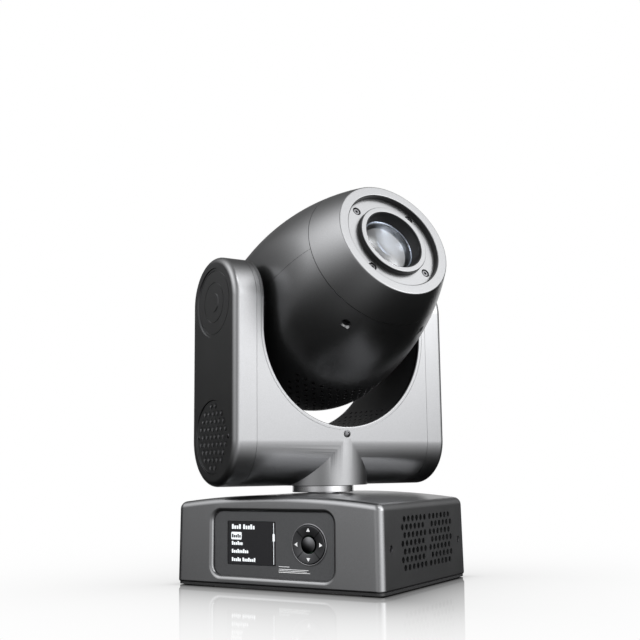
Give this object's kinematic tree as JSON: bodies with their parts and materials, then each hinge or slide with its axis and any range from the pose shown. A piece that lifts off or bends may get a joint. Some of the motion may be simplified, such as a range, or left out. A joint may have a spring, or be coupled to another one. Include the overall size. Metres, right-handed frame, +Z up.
{
  "type": "moving head light",
  "caption": "Compact moving head spot light: a base with a display and keys, a U-shaped yoke that pans and an egg-shaped head with a round lens that tilts.",
  "frame": {"origin": "on the pan axis, at the face of the pad under the base, 3 mm above the floor that the feet stand on", "axes": "+Z up along the pan axis; the base's display faces -Y and its sockets face +Y; +X is to the right as the display is read"},
  "size_m": [0.2699, 0.2682, 0.3915],
  "materials": {
    "body_paint": "satin grey metallic paint",
    "dark_plastic": "fine matte texture",
    "panel_film": "satin film",
    "zinc_steel": "zinc plated",
    "satin_silver": "satin turned",
    "rubber": "matte",
    "lens_glass": "polished, coated",
    "display_glass": "glossy",
    "key_plastic": "satin",
    "circuit_board": "solder mask",
    "screw_steel": "blackened",
    "cast_alloy": "cast and machined"
  },
  "bodies": {
    "base": {"base_shell": "body_paint", "base_plate": "zinc_steel", "foot_1": "rubber", "foot_2": "rubber", "foot_3": "rubber", "foot_4": "rubber", "control_panel": "panel_film", "display": "display_glass", "control_board": "circuit_board", "power_supply": "cast_alloy", "rear_panel": "zinc_steel", "power_inlet": "dark_plastic", "signal_input": "dark_plastic", "signal_output": "dark_plastic", "pan_bracket": "zinc_steel", "pan_motor": "zinc_steel", "pan_bearing": "satin_silver", "pan_belt": "rubber"},
    "yoke": {"pan_shaft": "satin_silver", "pan_pulley": "cast_alloy", "yoke_frame": "zinc_steel", "yoke_front_cover": "body_paint", "yoke_rear_cover": "body_paint", "side_cover_left": "body_paint", "side_cover_right": "body_paint", "arm_grille_left": "dark_plastic", "arm_grille_right": "dark_plastic", "yoke_liner": "dark_plastic", "yoke_screw": "screw_steel", "tilt_motor": "zinc_steel", "tilt_bearing_left": "satin_silver", "tilt_bearing_right": "satin_silver", "tilt_belt": "rubber"},
    "head": {"upper_shell": "body_paint", "lower_shell": "body_paint", "front_cap": "body_paint", "rear_cap": "dark_plastic", "lens_plate": "body_paint", "lens_bezel": "body_paint", "front_lens": "lens_glass", "face_screw_1": "screw_steel", "face_screw_2": "screw_steel", "face_screw_3": "screw_steel", "face_screw_4": "screw_steel", "trunnion_left": "cast_alloy", "trunnion_right": "cast_alloy", "tilt_pulley": "cast_alloy", "head_chassis": "zinc_steel", "light_engine": "cast_alloy"},
    "pan_drive": {"pan_motor_pulley": "cast_alloy"},
    "tilt_drive": {"tilt_motor_pulley": "cast_alloy"},
    "fan_rotor": {"fan": "dark_plastic"},
    "colour_disc": {"colour_wheel": "cast_alloy"},
    "gobo_disc": {"gobo_wheel": "cast_alloy"},
    "focus_cell": {"focus_carriage": "dark_plastic"},
    "key_up": {"key_up": "key_plastic"},
    "key_down": {"key_down": "key_plastic"},
    "key_left": {"key_left": "key_plastic"},
    "key_right": {"key_right": "key_plastic"},
    "key_enter": {"key_enter": "key_plastic"}
  },
  "joints": [
    {"name": "pan", "type": "hinge", "parent": "base", "child": "yoke", "pos_m": [0, 0, 0.0938], "axis": [0, 0, 1], "range_deg": [-334.4, 205.6]},
    {"name": "tilt", "type": "hinge", "parent": "yoke", "child": "head", "pos_m": [0, 0, 0.2758], "axis": [0.4321, 0.9018, 0], "range_deg": [-187.8, 52.2]},
    {"name": "pan_motor_spin", "type": "hinge", "parent": "base", "child": "pan_drive", "pos_m": [0, 0.062, 0.061], "axis": [0, 0, 1], "range_deg": [-2010, 1240]},
    {"name": "tilt_motor_spin", "type": "hinge", "parent": "yoke", "child": "tilt_drive", "pos_m": [0.05099, 0.10642, 0.165], "axis": [0.4321, 0.9018, 0], "range_deg": [-860, 240]},
    {"name": "fan_spin", "type": "hinge", "parent": "head", "child": "fan_rotor", "pos_m": [-0.07849, 0.0376, 0.24028], "axis": [0.835, -0.4001, 0.3778], "continuous": true},
    {"name": "colour_wheel_spin", "type": "hinge", "parent": "head", "child": "colour_disc", "pos_m": [0.0024, -0.02448, 0.29751], "axis": [0.835, -0.4001, 0.3778], "continuous": true},
    {"name": "gobo_wheel_spin", "type": "hinge", "parent": "head", "child": "gobo_disc", "pos_m": [0.0306, 0.00866, 0.30204], "axis": [0.835, -0.4001, 0.3778], "continuous": true},
    {"name": "focus_slide", "type": "slide", "parent": "head", "child": "focus_cell", "axis": [0.835, -0.4001, 0.3778], "range_m": [-0.03, 0.012]},
    {"name": "key_up_press", "type": "slide", "parent": "base", "child": "key_up", "axis": [0, 1, 0], "range_m": [0, 0.001], "stiffness_N_per_m": 600, "springref_m": -0.0005},
    {"name": "key_down_press", "type": "slide", "parent": "base", "child": "key_down", "axis": [0, 1, 0], "range_m": [0, 0.001], "stiffness_N_per_m": 600, "springref_m": -0.0005},
    {"name": "key_left_press", "type": "slide", "parent": "base", "child": "key_left", "axis": [0, 1, 0], "range_m": [0, 0.001], "stiffness_N_per_m": 600, "springref_m": -0.0005},
    {"name": "key_right_press", "type": "slide", "parent": "base", "child": "key_right", "axis": [0, 1, 0], "range_m": [0, 0.001], "stiffness_N_per_m": 600, "springref_m": -0.0005},
    {"name": "key_enter_press", "type": "slide", "parent": "base", "child": "key_enter", "axis": [0, 1, 0], "range_m": [0, 0.001], "stiffness_N_per_m": 600, "springref_m": -0.0005}
  ],
  "couplings": [
    {"joint": "pan_motor_spin", "follows": "pan", "ratio": 6},
    {"joint": "tilt_motor_spin", "follows": "tilt", "ratio": 4.5714}
  ]
}
